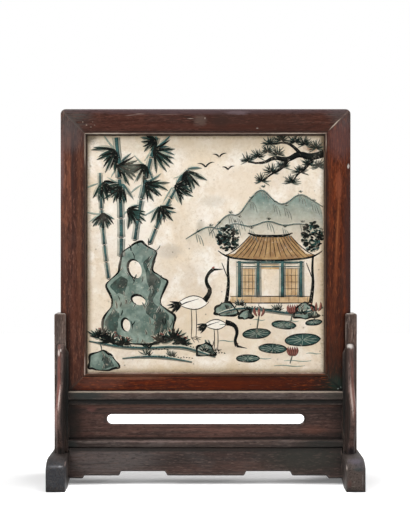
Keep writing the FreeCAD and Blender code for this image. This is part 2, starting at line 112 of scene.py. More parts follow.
def aged_wood(name, axis, tone, patches=(), marks=()):
    """Old wood, waxed or bare: growth bands, dark streaks and short open pores along one axis.
    The eye sees a brown body, a grey bloom, paler wood on handled edges and painted shade in corners.
    Patches lie under the grain; marks, such as painted shade or a painted highlight, lie over it."""
    material, tree, shader, place = new_material(name)
    # Sizes in mm along and across the grain, the noise that starts and ends each pattern, and its strength.
    # Real pores and scratches are finer: these are as coarse as a picture needs to show them.
    patterns = {
        "bands": (260, 16, 0.36, 0.64, 1.0),
        "streaks": (120, 4.5, 0.48, 0.68, 0.75),
        "lines": (60, 2.0, 0.50, 0.68, tone["line_share"]),
        "dashes": (8, 1.7, 0.52, 0.66, 0.60),
        "glints": (11, 1.8, 0.54, 0.68, tone["glint_share"]),
        "bloom": (70, 50, 0.42, 0.68, tone["grey_share"]),
        "scratches": (30, 1.5, 0.70, 0.75, tone["scratch_share"]),
        "rubbing": (16, 12, 0.40, 0.66, tone["worn_share"]),
        "blotches": (26, 9, 0.48, 0.68, tone["blotch_share"]),
    }
    drift = (7.3, 3.1, 5.7)
    heights, shares = {}, {}
    for step, (pattern, (along, across, low, high, most)) in enumerate(patterns.items()):
        sizes = [along if letter == axis else across for letter in "XYZ"]
        spread = add_node(tree, "Mapping", {"Vector": place, "Scale": [1 / (MM * size) for size in sizes],
                                            "Location": [shift * step for shift in drift]})
        heights[pattern] = add_node(tree, "TexNoise", {"Vector": spread, "Scale": 1.0, "Detail": 3.0,
                                                       "Roughness": 0.6, "Distortion": 0.5})
        shares[pattern] = add_node(tree, "MapRange", {0: heights[pattern], 1: low, 2: high, 4: most})
    # Painted shade, with some grime, is darkest in the corners where pieces meet.
    shade_reach = 16
    corners = add_node(tree, "AmbientOcclusion", {"Distance": shade_reach * MM}, samples=8)
    shade_and_grime = add_node(tree, "MapRange", {0: corners.outputs["AO"], 1: 0.80, 2: 0.30, 4: 0.95})
    # Edges that hands and dusters reach are rubbed paler, in uneven stretches.
    edge_width = 2.5
    edges = add_node(tree, "AmbientOcclusion", {"Distance": edge_width * MM}, samples=8, inside=True,
                     only_local=True)
    rubbed = add_node(tree, "MapRange", {0: edges.outputs["AO"], 1: 0.90, 2: 0.55, 4: shares["rubbing"]})
    coats = [(shares["bands"], tone["heart"]), (shares["streaks"], tone["streak"]),
             (shares["bloom"], tone["grey"]), (shares["blotches"], tone["streak"])]
    coats += patch_coats(tree, place, heights["lines"], patches)
    coats += [(shares["lines"], tone["streak"]), (shares["glints"], tone["glint"]),
              (shares["dashes"], tone["pore"]), (rubbed, tone["worn"]), (shares["scratches"], tone["worn"])]
    coats += patch_coats(tree, place, heights["dashes"], marks) + [(shade_and_grime, "0B0908")]
    # Wax and bloom make the gloss uneven, and the pores lie a little below the lines between them.
    gloss = add_node(tree, "MapRange", {0: heights["bloom"], 1: 0.3, 2: 0.7, 3: tone["roughness"] - 0.08,
                                        4: tone["roughness"] + 0.12})
    relief = add_node(tree, "Math", {0: heights["lines"], 1: shares["dashes"]}, operation="SUBTRACT")
    bump = add_node(tree, "Bump", {"Height": relief, "Strength": 0.5, "Distance": 0.3 * MM})
    plug(tree, shader, {"Base Color": layered(tree, linear(tone["streak"]), coats), "Roughness": gloss,
                        "Normal": bump, "IOR": 1.5, "Specular IOR Level": tone["shine"]})
    return material


stand_tone = dict(heart="563D35", streak="261C19", grey="4B4644", glint="6E5A52", pore="14100E",
                  worn="8A7A70", line_share=0.6, glint_share=0.45, grey_share=0.6, scratch_share=0.30,
                  worn_share=0.75, blotch_share=0.35, roughness=0.52, shine=0.16)
foot_tone = dict(stand_tone, heart="453B37", streak="241E1C", grey="49433F", glint="665A53", worn="8E8884",
                 worn_share=0.95)
# Grey front ends and dents, painted highlights on the upper and inner arrises, and painted shade
# on the outer edges and along the table.
foot_patches = [
    ((-232, -110, 25), (40, 46, 34), "35383D", 0.85), ((236, -110, 24), (26, 60, 26), "574B45", 0.75),
    ((240, -100, 42), (14, 40, 12), "454247", 0.7)]
foot_marks_and_painted_light = [
    ((-232, -110, 39.5), (17, 9, 1.9), "86868A", 0.3), ((-225, -110, 39.5), (4, 9, 1.6), "B0B0B2", 0.45),
    ((-217.5, -100, 43), (1.5, 16, 5), "A8948E", 0.6), ((-247, -110, 20), (1.6, 9, 22), "26262A", 0.7),
    ((218.3, -110, 38), (1.2, 10, 5), "C0B2AA", 0.7), ((242.6, -110, 20), (0.8, 9, 14), "75706E", 0.55),
    ((246.6, -110, 22), (2.2, 10, 24), "222226", 0.7), ((232, -98, 47), (14, 16, 6), "625A66", 0.45),
    ((236, -110, 35), (10, 9, 4), "333A3A", 0.6), ((236.7, -110, 16), (1.3, 9, 1.5), "1A1818", 0.8),
    ((229.5, -110, 16), (1.6, 9, 1.0), "847C74", 0.6), ((228, -110, 9), (4, 9, 0.8), "7C7266", 0.5),
    ((222.5, -110, 13), (4, 9, 7), "5E3C36", 0.4), ((-232, -110, 0.5), (20, 9, 2.6), "101012", 0.6),
    ((232, -110, 0.5), (20, 9, 2.6), "101012", 0.6)]
dress(aged_wood("foot_rosewood_along_y", "Y", foot_tone, foot_patches, foot_marks_and_painted_light), "left_foot", "right_foot")


# Posts: two uprights, tenoned into the feet and grooved on the inside for the frame to slide down.
# Same wood as the feet with upright grain; a painted highlight on the tops, painted shadow on the inner sides
# in front.
post_tone = dict(stand_tone, heart="6A5146", streak="2C211C", grey="6B605B", glint="9A877C", worn="A89A90",
                 glint_share=0.6)
post_painted_light = [
    ((-230.7, 0, 272.5), (16, 34, 2.2), "CFC6BD", 0.75), ((230.7, 0, 272.5), (16, 34, 2.2), "CFC6BD", 0.75),
    ((-220.5, -25, 140), (5.5, 16, 110), "08100E", 0.92), ((220.5, -25, 140), (5, 16, 105), "0C0F0D", 0.9)]
dress(aged_wood("post_rosewood_along_z", "Z", post_tone, (), post_painted_light), "left_post", "right_post")


# Foot pins: turned hardwood pegs, driven through each foot and the post's tenon in it.
# Cut off flush, so that brown end grain is all that shows; nothing else holds the post down.
def turned_peg_wood(name):
    """Straight hardwood pegs, cut across at the ends: dark brown with paler specks about 1 mm wide."""
    material, tree, shader, place = new_material(name)
    speck_width = 1.0
    specks = add_node(tree, "TexNoise", {"Vector": place, "Scale": 1 / (speck_width * MM), "Detail": 3.0})
    share = add_node(tree, "MapRange", {0: specks, 1: 0.35, 2: 0.65})
    colour = add_node(tree, "Mix", {0: share, 6: linear("2B1B15"), 7: linear("5A4033")}, data_type="RGBA")
    bump = add_node(tree, "Bump", {"Height": specks, "Strength": 0.3, "Distance": 0.1 * MM})
    plug(tree, shader, {"Base Color": colour, "Normal": bump, "Roughness": 0.6})
    return material


peg_wood = turned_peg_wood("peg_hardwood_end_grain")
dress(peg_wood, "foot_pins")


# Spandrels: four vase-shaped brackets that prop the posts, two in front and two behind.
# Fretted from boards with upright grain, rounded on the free edge, on loose tenons.
# Painted light on the left outer belly, painted highlights on the bellies and tips, and painted shade
# beside the posts, down the right one's outer edge and where they stand on the feet.
def front_marks(*groups):
    """Marks as seen from the front, in groups that share a depth, its middle and reach in mm.
    Each mark is a place and two radii in mm, a colour and a strength, and it may be turned."""
    marks = []
    for (middle, reach), *group in groups:
        marks += [((x, middle, z), (wide, reach, high), *look) for x, z, wide, high, *look in group]
    return marks


belly, left_tip, right_tip, base = (-60, 70), (-40, 40), (-36, 24), (-70, 70)
spandrel_tone = dict(post_tone, heart="735850", grey="75635E", glint="957D75")
spandrel_light_and_shade = front_marks(
    (belly, (-233, 170, 3.6, 70, "85534A", 0.7), (-231, 140, 1.4, 22, "DCCAC2", 0.65),
     (-234, 104, 2.0, 34, "A5857E", 0.55)),
    (left_tip, (-233.5, 210, 1.8, 6, "F0E4DC", 0.7), (-230.5, 214, 1.4, 3, "F0E4DC", 0.6)),
    (belly, (-224.8, 130, 4, 120, "121413", 0.85), (230.5, 142, 2.0, 34, "B5A29A", 0.7),
     (233.5, 165, 3.4, 60, "74483E", 0.6), (236.8, 98, 3.4, 50, "2E2828", 0.75),
     (224.8, 120, 3, 110, "161412", 0.8)),
    (right_tip, (230, 221, 6, 5, "D2CCC6", 0.8)),
    (base, (-231, 54, 9, 11, "0C1210", 0.85), (231, 54, 9, 10, "121319", 0.85)))
spandrel_wood = aged_wood("spandrel_rosewood_along_z", "Z", spandrel_tone, (), spandrel_light_and_shade)
dress(spandrel_wood, "left_front_spandrel", "right_front_spandrel", "left_rear_spandrel",
      "right_rear_spandrel")
dress(peg_wood, "spandrel_tenons")


# Cross rails, slotted panel and aprons: the bridge between the posts, all with level grain.
# Rails are tenoned into the posts, the panel is tongued into both rails, the aprons lean against them.
# Painted shade lies in the cove, round the slot, under the lower rail and along the panel's foot, and the
# ends darken towards the posts; painted highlights run along the nose, the lower rail's top and above the
# slot, and painted light lifts the panel just under the upper rail.
cove, rail_front, nose = (-18, 20), (-20, 20), (-21, 10)
rail_tone = dict(stand_tone, heart="5E4C45", grey="625956", glint="7E6E67", worn="9A8B82")
rail_light_and_shade = front_marks(
    # Painted shadow in the cove, painted highlights on the nose and the lower rail's top, painted shade below
    # it.
    (cove, (0, 130.5, 400, 7.5, "050705", 0.96)),
    (rail_front, (190, 62, 58, 12, "141A17", 0.72), (-190, 141, 40, 10, "222826", 0.85),
     (-180, 66, 34, 2.4, "726660", 0.45), (-214, 60, 12, 12, "1C2422", 0.7), (206, 141, 22, 9, "2A2D26", 0.6),
     (-60, 67.2, 140, 1.8, "8E7872", 0.35), (0, 58.5, 400, 5, "262321", 0.4)),
    (nose, (0, 146.6, 400, 1.7, "A89A8A", 0.75)))
rail_wood = aged_wood("rail_rosewood_along_x", "X", rail_tone, (), rail_light_and_shade)
dress(rail_wood, "lower_cross_rail", "upper_cross_rail")
panel_top, panel_front = (-7, 14), (-7, 12)
panel_tone = dict(stand_tone, heart="6A4A41", grey="54443F", glint="7C6259", grey_share=0.4)
# Painted light under the upper rail, painted shade and highlight round the slot, painted shade at its foot.
panel_light_and_shade = front_marks(
    (panel_top, (0, 123, 400, 3.5, "8E6A5C", 0.55)),
    (panel_front, (-218, 98, 22, 46, "151612", 0.75), (218, 98, 20, 46, "1A1613", 0.35),
     (-183, 119, 9, 7, "84544E", 0.4), (172, 84, 26, 8, "744A3C", 0.35),
     (159.6, 102, 1.9, 10, "1A120A", 0.75), (-162, 102, 3, 10, "2A2624", 0.55),
     (0, 115.6, 170, 1.2, "241A18", 0.55),
     (0, 118, 170, 1.2, "86706A", 0.4), (0, 112.2, 160, 1.2, "2A2422", 0.45),
     (0, 88.6, 165, 1.2, "2A1A18", 0.5), (0, 71, 400, 2, "17100D", 0.7)))
dress(aged_wood("panel_rosewood_along_x", "X", panel_tone, (), panel_light_and_shade), "slotted_panel")
apron_top, apron_front = (-20, 40), (-25, 40)
apron_patches = front_marks(
    (apron_front, (-150, 40, 90, 40, "57504E", 0.6), (160, 40, 100, 40, "211F1A", 0.85)))
# A painted shadow along the top, under the lower rail, and a darker stretch at the right.
apron_marks_and_shadow = front_marks(
    (apron_top, (0, 55, 400, 4.5, "100F0C", 0.85)), (apron_front, (160, 40, 56, 20, "2A2A25", 0.5)))
apron_wood = aged_wood("apron_rosewood_along_x", "X", stand_tone, apron_patches, apron_marks_and_shadow)
dress(apron_wood, "front_apron", "rear_apron")


# Frame: four mitred rosewood members with a convex face, a bead at the sight edge and a rabbet behind.
# Redder and smoother than the stand, since hands rub it each time that the screen is lifted out.
# Grey where they grip it at the upper corners, sooty at the lower right one, with open mitres and dents;
# painted highlights and painted shade lie along the beads, quirks, the right stile's crown and the edges.
face, deep_face, crown, bead = (-14, 30), (-14, 40), (-14, 20), (-12, 16)
frame_tone = dict(heart="74402F", streak="35180F", grey="43302A", glint="8E5640", pore="160C09",
                  worn="9A8577", line_share=0.85, glint_share=0.5, grey_share=0.35, scratch_share=0.50,
                  worn_share=0.4, blotch_share=0.7, roughness=0.48, shine=0.11)
corner_patches = front_marks(
    (face, (-225, 592, 46, 34, "45403D", 0.85), (225, 592, 34, 28, "4C4240", 0.8)),
    (deep_face, (215, 156, 50, 50, "121611", 0.95)), (face, (-225, 142, 30, 30, "2A2422", 0.8)))
upper_left_mitre = (-212, 580, 26, 2.6, "463F3C", 0.85, -45)
upper_right_mitre = (207, 575, 14, 1.1, "C4B5A4", 0.8, 45)
lower_left_mitre = (-214, 153, 24, 2.4, "3A2A24", 0.8, 45)
sooty_corner = ((208, 160, 15, 17, "1A241E", 0.6), (219, 152, 20, 20, "1E342C", 0.6),
                (214, 153, 26, 2.6, "101612", 0.9, -45))
frame_members = {
    "frame_top_rail": ("X", dict(heart="4E2E24", grey="3A2B27", grey_share=0.5, glint="6E473B"), (
        # Painted highlight on the bead, painted shade in the quirk above it, and a painted sheen on the top
        # edge.
        (bead, (0, 560.5, 330, 1.1, "A89A8C", 0.5), (0, 563.3, 330, 1.5, "1C120D", 0.7)),
        (face, upper_right_mitre, (0, 598, 300, 8, "4C3E42", 0.68), (70, 580, 110, 18, "33221C", 0.35),
         (-20, 572, 220, 5, "4E261B", 0.35), (-9, 581, 13, 11, "62524A", 0.5),
         (24, 580, 17, 16, "2E1F19", 0.5), (52, 594, 24, 4, "6C5C60", 0.5),
         (-118, 590, 15, 0.7, "8C7A70", 0.5, 6),
         (-104, 592, 9, 0.6, "96847A", 0.5, -4), (-30, 587, 9, 1.4, "17100D", 0.8),
         (-191, 574, 1.3, 1.0, "B09C8C", 0.7), (-197, 579, 1.0, 1.4, "A8988A", 0.6),
         (-184, 571, 1.8, 0.8, "A08C7E", 0.6), (-181, 579, 1.0, 1.0, "A08C7E", 0.5),
         (-178, 574, 1.2, 0.8, "98867A", 0.5), (83, 569, 2, 1.0, "D8CEC4", 0.7), upper_left_mitre,
         (-60, 591, 20, 0.8, "806C62", 0.35), (-24, 584.6, 6, 0.7, "B0A094", 0.6),
         (-1, 585, 1.4, 1.8, "A4948A", 0.6)),
        # Painted highlights on the bead near both corners.
        (bead, (-160, 560.6, 46, 1.0, "D2C6B6", 0.75), (140, 560.8, 60, 1.0, "CDBFAE", 0.75)),
        (face, (98, 569.5, 112, 8, "30160C", 0.42)))),
    "frame_bottom_rail": ("X", dict(heart="6E280A", streak="2E1108", grey="40180A", glint="8C4218",
                                    shine=0.09), (
        # Painted shade on the bead and along the lower edge over the upper rail; a pale speck painted as a
        # highlight.
        (bead, (0, 172.4, 330, 2.4, "3A2A1E", 0.8)),
        (face, (-170, 160, 50, 12, "7E584C", 0.2), (60, 160, 90, 13, "481600", 0.6),
         (-122, 168.5, 72, 4, "8E5C44", 0.4), (78, 167, 110, 5.5, "280E04", 0.5),
         (0, 147.6, 330, 1.6, "1C0904", 0.75), *sooty_corner, (212.5, 151.2, 2.0, 1.2, "B4C0B8", 0.75),
         lower_left_mitre))),
    "frame_left_stile": ("Z", dict(heart="74432F", grey="4C3832", grey_share=0.45, glint="8E5E4A",
                                   shine=0.15), (
        (crown, (-214, 500, 2.5, 95, "2A1A17", 0.7)),
        # Painted shade in the quirk beside the bead.
        (bead, (-192.8, 367, 1.1, 330, "5C493C", 0.6), (-194.6, 367, 1.2, 330, "1E140F", 0.75)),
        (face, (-203, 380, 4, 190, "70452F", 0.4), (-231, 510, 5, 70, "6A5352", 0.5),
         (-229, 380, 4, 60, "46302A", 0.4), (-206, 282, 9, 40, "4A2416", 0.4)),
        # Painted highlights on the bead near both corners.
        (bead, (-193.9, 186, 1.3, 24, "BCA89C", 0.65), (-193.6, 536, 0.9, 36, "BCAC9C", 0.7)),
        (face, (-216, 556, 26, 30, "504848", 0.5), upper_left_mitre, lower_left_mitre))),
    "frame_right_stile": ("Z", dict(heart="803A1C", streak="321409", grey="4E2410", glint="9C5530",
                                    shine=0.10), (
        (face, (218, 552, 30, 40, "5C4646", 0.5), (212, 235, 22, 110, "381E15", 0.45)),
        # A painted highlight and reflection down the crown.
        (crown, (211, 380, 4.5, 120, "8C4A2C", 0.4, -2.4), (211.5, 410, 1.4, 60, "A5663E", 0.35, -2.8)),
        # Painted shade down the outer edge.
        (face, (206, 200, 13, 50, "20160E", 0.5), (199.4, 490, 2.8, 80, "30180E", 0.5),
         (214, 478, 7, 30, "9C583E", 0.35), (219, 325, 5, 50, "38241C", 0.5),
         (229, 380, 9, 170, "35211D", 0.8)),
        # Painted shade in the quirk beside the bead.
        (bead, (192.4, 367, 0.9, 330, "5A4A3C", 0.65), (194.3, 367, 1.5, 330, "0C0603", 0.92)),
        (face, upper_right_mitre, *sooty_corner, (229, 508, 2.2, 4.5, "D8CFC6", 0.7)),
        # A painted highlight on the bead near the top, and a pale speck painted as a highlight.
        (bead, (193.4, 548, 0.9, 18, "B8AA9A", 0.6)), (face, (217, 153.4, 1.3, 2.0, "A4B0A8", 0.7)))),
}
for member, (axis, shift, groups) in frame_members.items():
    tone = dict(frame_tone, **shift)
    dress(aged_wood(member + "_rosewood", axis, tone, corner_patches, front_marks(*groups)), member)
dress(peg_wood, "corner_pins")


# Slips: thin mitred strips of hardwood that close the joint between the bead and the stone.
# Left unwaxed and dull brown; the bottom one is painted paler, a painted highlight where it faces up to the
# light.
slip_tone = dict(frame_tone, heart="54443A", streak="2A1F19", grey="473C34", glint="6E5C4E", worn="8A7664",
                 scratch_share=0.1, roughness=0.55)
dress(aged_wood("slip_hardwood_along_x", "X", slip_tone), "slip_top")
lit_slip_tone = dict(slip_tone, heart="A48C7C", streak="6E5A4C", grey="8E7A6C", glint="B49E8E", worn="C0AC9A")
dress(aged_wood("lit_slip_along_x", "X", lit_slip_tone), "slip_bottom")
dress(aged_wood("slip_hardwood_along_z", "Z", slip_tone), "slip_left", "slip_right")


# Alabaster panel: one sawn slab of cream alabaster, rubbed smooth and painted on its front.
# Cloudy and a little translucent, with painted shade and brown grime along the frame and a few dark specks.
picture_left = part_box("slip_left")[1].x
picture_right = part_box("slip_right")[0].x
picture_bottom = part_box("slip_bottom")[1].z
picture_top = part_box("slip_top")[0].z
stone_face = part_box("alabaster_panel")[0].y
# Brown along the frame, grey at the upper left, iron stain at the upper right, and warm and pale clouds.
stone_skin = (-5, 40)
stone_patches = front_marks(
    (stone_skin, (0, 562, 260, 46, "B5A386", 0.55), (-190, 557, 20, 16, "5F574C", 0.9),
     (173, 538, 16, 9, "84562F", 0.7), (189, 545, 7, 22, "5C4C38", 0.8), (-60, 372, 26, 14, "BDB2A4", 0.6),
     (0, 176, 230, 16, "C3AB84", 0.6), (-120, 420, 70, 90, "F7F1E7", 0.5), (190, 330, 16, 90, "BFA47E", 0.5),
     (-190, 300, 10, 110, "B59C78", 0.5), (20, 250, 120, 60, "DCC7A8", 0.45),
     (-150, 480, 50, 34, "D8C1A2", 0.4), (60, 480, 60, 40, "E0CCB2", 0.4), (12, 452, 24, 12, "C6BAA8", 0.5),
     (-8, 412, 8, 14, "A99D8B", 0.5), (36, 212, 24, 9, "C2AF92", 0.45)))


def stone_colour(tree, place):
    """The slab's colour: cream, with clouds, fine mottling, specks, and painted shade and grime near the
    slips.
    """
    # Sizes in mm, the noise that starts and ends each pattern, its colour and its strength.
    patterns = (
        (130, 0.42, 0.66, "DCC4A0", 0.55),
        (75, 0.48, 0.70, "CDBFB0", 0.60),
        (40, 0.50, 0.66, "FAF4EA", 0.70),
        (15, 0.50, 0.72, "D6C2A4", 0.50),
        (6.5, 0.50, 0.70, "C9B495", 0.40),
        (3.0, 0.56, 0.72, "B39C7A", 0.35),
    )
    coats = []
    drift = 0.0
    for size, low, high, hex_code, most in patterns:
        drift += 0.37
        moved = add_node(tree, "Mapping", {"Vector": place, "Location": (drift, drift, drift)})
        noise = add_node(tree, "TexNoise", {"Vector": moved, "Scale": 1 / (size * MM), "Detail": 4.0,
                                            "Roughness": 0.6, "Distortion": 0.6})
        coats.append((add_node(tree, "MapRange", {0: noise, 1: low, 2: high, 4: most}), hex_code))
    coats += patch_coats(tree, place, noise, stone_patches)
    # Specks of iron, about 2 mm across and well apart.
    speck_spacing = 17
    specks = add_node(tree, "TexVoronoi", {"Vector": place, "Scale": 1 / (speck_spacing * MM)})
    coats.append((add_node(tree, "MapRange", {0: specks, 1: 0.10, 2: 0.04, 4: 0.6}), "5E5140"))
    # Painted shade and grime reach a few mm in from the slips, unevenly.
    unevenness, starts, ends = 9 * MM, -2 * MM, 6 * MM
    middle = ((picture_left + picture_right) / 2, 0, (picture_bottom + picture_top) / 2)
    edge = (picture_right - picture_left) / 2
    apart = add_node(tree, "VectorMath", {0: place, 1: middle}, operation="SUBTRACT")
    apart = add_node(tree, "VectorMath", {0: apart}, operation="ABSOLUTE")
    sides = add_node(tree, "SeparateXYZ", {0: apart})
    outward = add_node(tree, "Math", {0: sides.outputs["X"], 1: sides.outputs["Z"]}, operation="MAXIMUM")
    uneven = add_node(tree, "Math", {0: noise, 1: unevenness, 2: outward}, operation="MULTIPLY_ADD")
    shade_and_grime = add_node(tree, "MapRange", {0: uneven, 1: edge + starts, 2: edge + ends, 4: 0.8})
    coats.append((shade_and_grime, "7C6848"))
    return layered(tree, linear("EDE1D0"), coats), noise


def rubbed_alabaster(name):
    """Alabaster rubbed with fine grit: soft gloss, light that sinks in a few mm, a faintly pitted skin."""
    material, tree, shader, place = new_material(name)
    colour, grain = stone_colour(tree, place)
    bump = add_node(tree, "Bump", {"Height": grain, "Strength": 0.3, "Distance": 0.2 * MM})
    plug(tree, shader, {"Base Color": colour, "Normal": bump, "Roughness": 0.45, "IOR": 1.52,
                        "Specular IOR Level": 0.3, "Subsurface Weight": 0.10, "Subsurface Scale": 1.0,
                        "Subsurface Radius": (3 * MM, 2 * MM, 1.4 * MM)})
    return material


dress(rubbed_alabaster("alabaster_rubbed"), "alabaster_panel")


# Painted scene: a garden by a pond in mineral colours and ink, with rock, bamboo, pine, hills and cranes.
# Laid on the stone with a brush in thin films, first the flat washes and then the strokes, and since rubbed.
# Points are in mm from the lower left corner of the picture, and a stroke's widths go with its points.
chance = random.Random(11)
brush_strokes = {pigment: [] for pigment in ("bleed", "pale_teal", "ochre", "teal", "green", "red", "ink")}
flat_washes = []


def brush(pigment, points, widths):
    """One stroke; a stroke of mineral green also bleeds a little into the stone on both sides."""
    brush_strokes[pigment].append((points, widths))
    if pigment in ("teal", "green"):
        brush_strokes["bleed"].append((points, [2.2 * width for width in widths]))


def even_brush(pigment, points, width):
    """A stroke of one width that thins at both ends."""
    brush(pigment, points, [0.4 * width] + [width] * (len(points) - 2) + [0.4 * width])


def wash(name, pigment, outlines, smooth=True):
    """A flat patch of thin colour inside one or more outlines."""
    flat_washes.append((name, pigment, outlines, smooth))


def dab(pigment, u, v, size):
    """A touch of the brush's tip."""
    lean = chance.uniform(-0.4, 0.4) * size
    brush(pigment, [(u - 0.6 * size, v - lean), (u, v + 0.2 * size), (u + 0.6 * size, v + lean)],
          [0.4 * size, 1.3 * size, 0.3 * size])


def oval(u, v, across, high, turn=0.0, count=12):
    """Points round an oval, turned by some degrees."""
    points = []
    lean = math.radians(turn)
    for i in range(count):
        angle = math.tau * i / count
        a, b = across / 2 * math.cos(angle), high / 2 * math.sin(angle)
        points.append((u + a * math.cos(lean) - b * math.sin(lean),
                       v + a * math.sin(lean) + b * math.cos(lean)))
    return points


def rough(outline, amount):
    """The outline with two unsteady points on each side."""
    points = []
    for (a, b), (c, d) in zip(outline, outline[1:] + outline[:1]):
        for share in (0, 1 / 3, 2 / 3):
            points.append((a + share * (c - a) + chance.uniform(-amount, amount),
                           b + share * (d - b) + chance.uniform(-amount, amount)))
    return points


def within(u, v, outline):
    """Whether a point lies inside an outline."""
    crossings = 0
    for (a, b), (c, d) in zip(outline, outline[1:] + outline[:1]):
        if (b > v) != (d > v) and u < a + (v - b) * (c - a) / (d - b):
            crossings += 1
    return crossings % 2 == 1


def fan(pigment, u, v, count, aim, spread, reach, width):
    """Pointed strokes that leave one point, such as a cluster of leaves or needles."""
    for i in range(count):
        angle = math.radians(aim + spread * (i / (count - 1) - 0.5) + chance.uniform(-8, 8))
        length = reach * chance.uniform(0.7, 1.1)
        sag = chance.uniform(-0.12, 0.12)
        a, b = length * math.cos(angle), length * math.sin(angle)
        root, tip = (u + 0.04 * a, v + 0.04 * b), (u + a, v + b)
        middle = (u + 0.45 * a - sag * b, v + 0.45 * b + sag * a)
        brush(pigment, [root, middle, tip], [0.5 * width, 2.0 * width, 0.3])


def on_line(points, share):
    """The point at some share of the way along a bent line of three points."""
    (a, b), (c, d), (e, f) = points
    near = 1 - share
    return (near * near * a + 2 * near * share * c + share * share * e,
            near * near * b + 2 * near * share * d + share * share * f)


def around(u, v, size, *points):
    """Points of a small motif, drawn about its own middle, at their place and size in the picture."""
    return [(u + size * a, v + size * b) for a, b in points]


def stone_in_garden(name, outline, holes, shades, strokes):
    """A rock: a pale wash, darker washes on its shaded parts, a bold broken contour and short strokes."""
    edge = rough(outline, 2.2)
    wash(name, "rock_teal", [edge] + holes)
    for i, shade in enumerate(shades):
        wash("%s_shade_%d" % (name, i + 1), "rock_shade", [rough(shade, 2.0)])
    step = 7
    for first in range(0, len(edge), step - 2):
        contour = [edge[(first + i) % len(edge)] for i in range(step)]
        brush("ink", contour, [0.5, 2.0, 3.4, 4.2, 3.0, 1.6, 0.4])
    for hole in holes:
        brush("ink", hole[1:10], [0.4, 2.0, 3.4, 4.0, 4.0, 3.4, 2.6, 1.4, 0.3])
    us, vs = [u for u, v in outline], [v for u, v in outline]
    laid = 0
    while laid < strokes:
        u, v = chance.uniform(min(us), max(us)), chance.uniform(min(vs), max(vs))
        if within(u, v, outline) and not any(within(u, v, hole) for hole in holes):
            angle, length = math.radians(chance.uniform(50, 120)), chance.uniform(5, 15)
            tip = (u + length * math.cos(angle), v + length * math.sin(angle))
            bend = ((u + tip[0]) / 2 + 2, (v + tip[1]) / 2)
            pigment = chance.choice(("green", "ink", "teal"))
            brush(pigment, [(u, v), bend, tip], [0.3, chance.uniform(1.6, 3.4), 0.3])
            laid += 1


# Distant hills, washed in teal that fades into the stone below.
far_ridge = [(196, 222), (210, 240), (228, 256), (243, 250), (262, 280), (281, 298), (300, 274), (318, 268),
             (341, 290), (362, 276), (379, 266)]
near_ridge = [(158, 214), (176, 226), (196, 236), (214, 228), (236, 242), (262, 232), (290, 246), (316, 234),
              (344, 242), (379, 230)]
wash("far_hills", "hill_teal", [far_ridge + [(379, 206), (190, 206)]])
wash("near_hills", "hill_teal", [near_ridge + [(379, 204), (154, 204)]])
for ridge in (far_ridge, near_ridge):
    even_brush("teal", ridge, 1.7)
    for u, v in ridge[1:-1]:
        for step in range(3):
            even_brush("teal", [(u + 3 * step - 2, v - 2 - 2 * step), (u + 4 * step, v - 10),
                                (u + 5 * step + 1, v - 17 - 3 * step)], 1.1)
        fan("green", u + 2, v - 1, 4, 90, 100, 5, 0.8)

# Pierced garden rock at the left, with dark shrubs and red berries at its foot.
rock_outline = [(32, 50), (22, 82), (42, 108), (28, 140), (50, 160), (56, 194), (86, 212), (112, 194),
                (104, 164), (130, 148), (114, 112), (142, 92), (134, 50), (84, 44)]
rock_holes = [oval(76, 166, 22, 32, 20), oval(82, 116, 24, 16, -20), oval(62, 76, 14, 22, 10)]
rock_shades = [[(100, 188), (96, 166), (120, 146), (104, 112), (132, 92), (126, 54), (104, 50), (108, 84),
                (92, 96), (100, 130), (88, 176)],
               [(34, 54), (26, 82), (44, 104), (52, 90), (46, 70), (56, 52)],
               [(36, 140), (54, 156), (64, 148), (58, 124), (46, 126)]]
stone_in_garden("rock", rock_outline, rock_holes, rock_shades, 64)
for u, v, reach in ((20, 56, 22), (36, 48, 20), (58, 44, 17), (118, 48, 20), (138, 52, 24), (150, 46, 18)):
    for pigment, count, share in (("green", 9, 1.0), ("ink", 8, 0.8), ("teal", 4, 0.65)):
        fan(pigment, u, v, count, 90, 175, share * reach, 3.0)
    for _ in range(5):
        dab("red", u + chance.uniform(-11, 11), v + chance.uniform(6, 17), 2.6)

# Bamboo behind the rock: jointed stems, a dark mark at each joint, and leaves that hang in clusters.
bamboo_stems = (([(54, 186), (56, 276), (46, 379)], 6, 6.0), ([(76, 212), (86, 294), (112, 379)], 5, 5.4),
                ([(100, 206), (122, 268), (162, 326)], 5, 4.2), ([(34, 150), (22, 230), (20, 322)], 6, 4.0))
for stem, joints, width in bamboo_stems:
    for i in range(joints):
        low, high = on_line(stem, (i + 0.04) / joints), on_line(stem, (i + 0.96) / joints)
        middle = ((low[0] + high[0]) / 2, (low[1] + high[1]) / 2)
        brush("teal", [low, middle, high], [width, 0.85 * width, width])
        even_brush("ink", [(low[0] - 0.7 * width, low[1] - 0.6), (low[0], low[1] - 2.4),
                           (low[0] + 0.7 * width, low[1] - 0.4)], 2.2)
leaf_clusters = ((47, 356, 215, 38), (50, 330, -35, 36), (57, 302, 235, 36), (94, 334, 225, 34),
                 (106, 358, -35, 38), (90, 304, -50, 36), (118, 268, -65, 32), (140, 300, -25, 34),
                 (160, 324, -75, 36), (22, 306, -65, 32), (24, 256, -100, 28), (66, 262, -50, 30),
                 (112, 376, 200, 26))
leaf_layers = (("pale_teal", 3, -40, 0.9, 2.6), ("teal", 4, 25, 0.85, 3.0), ("green", 7, 0, 1.0, 3.8),
               ("ink", 5, 10, 0.85, 3.4))
for u, v, aim, reach in leaf_clusters:
    for pigment, count, turn, share, width in leaf_layers:
        fan(pigment, u + chance.uniform(-4, 4), v + chance.uniform(-3, 3), count, aim + turn, 95,
            share * reach, width)

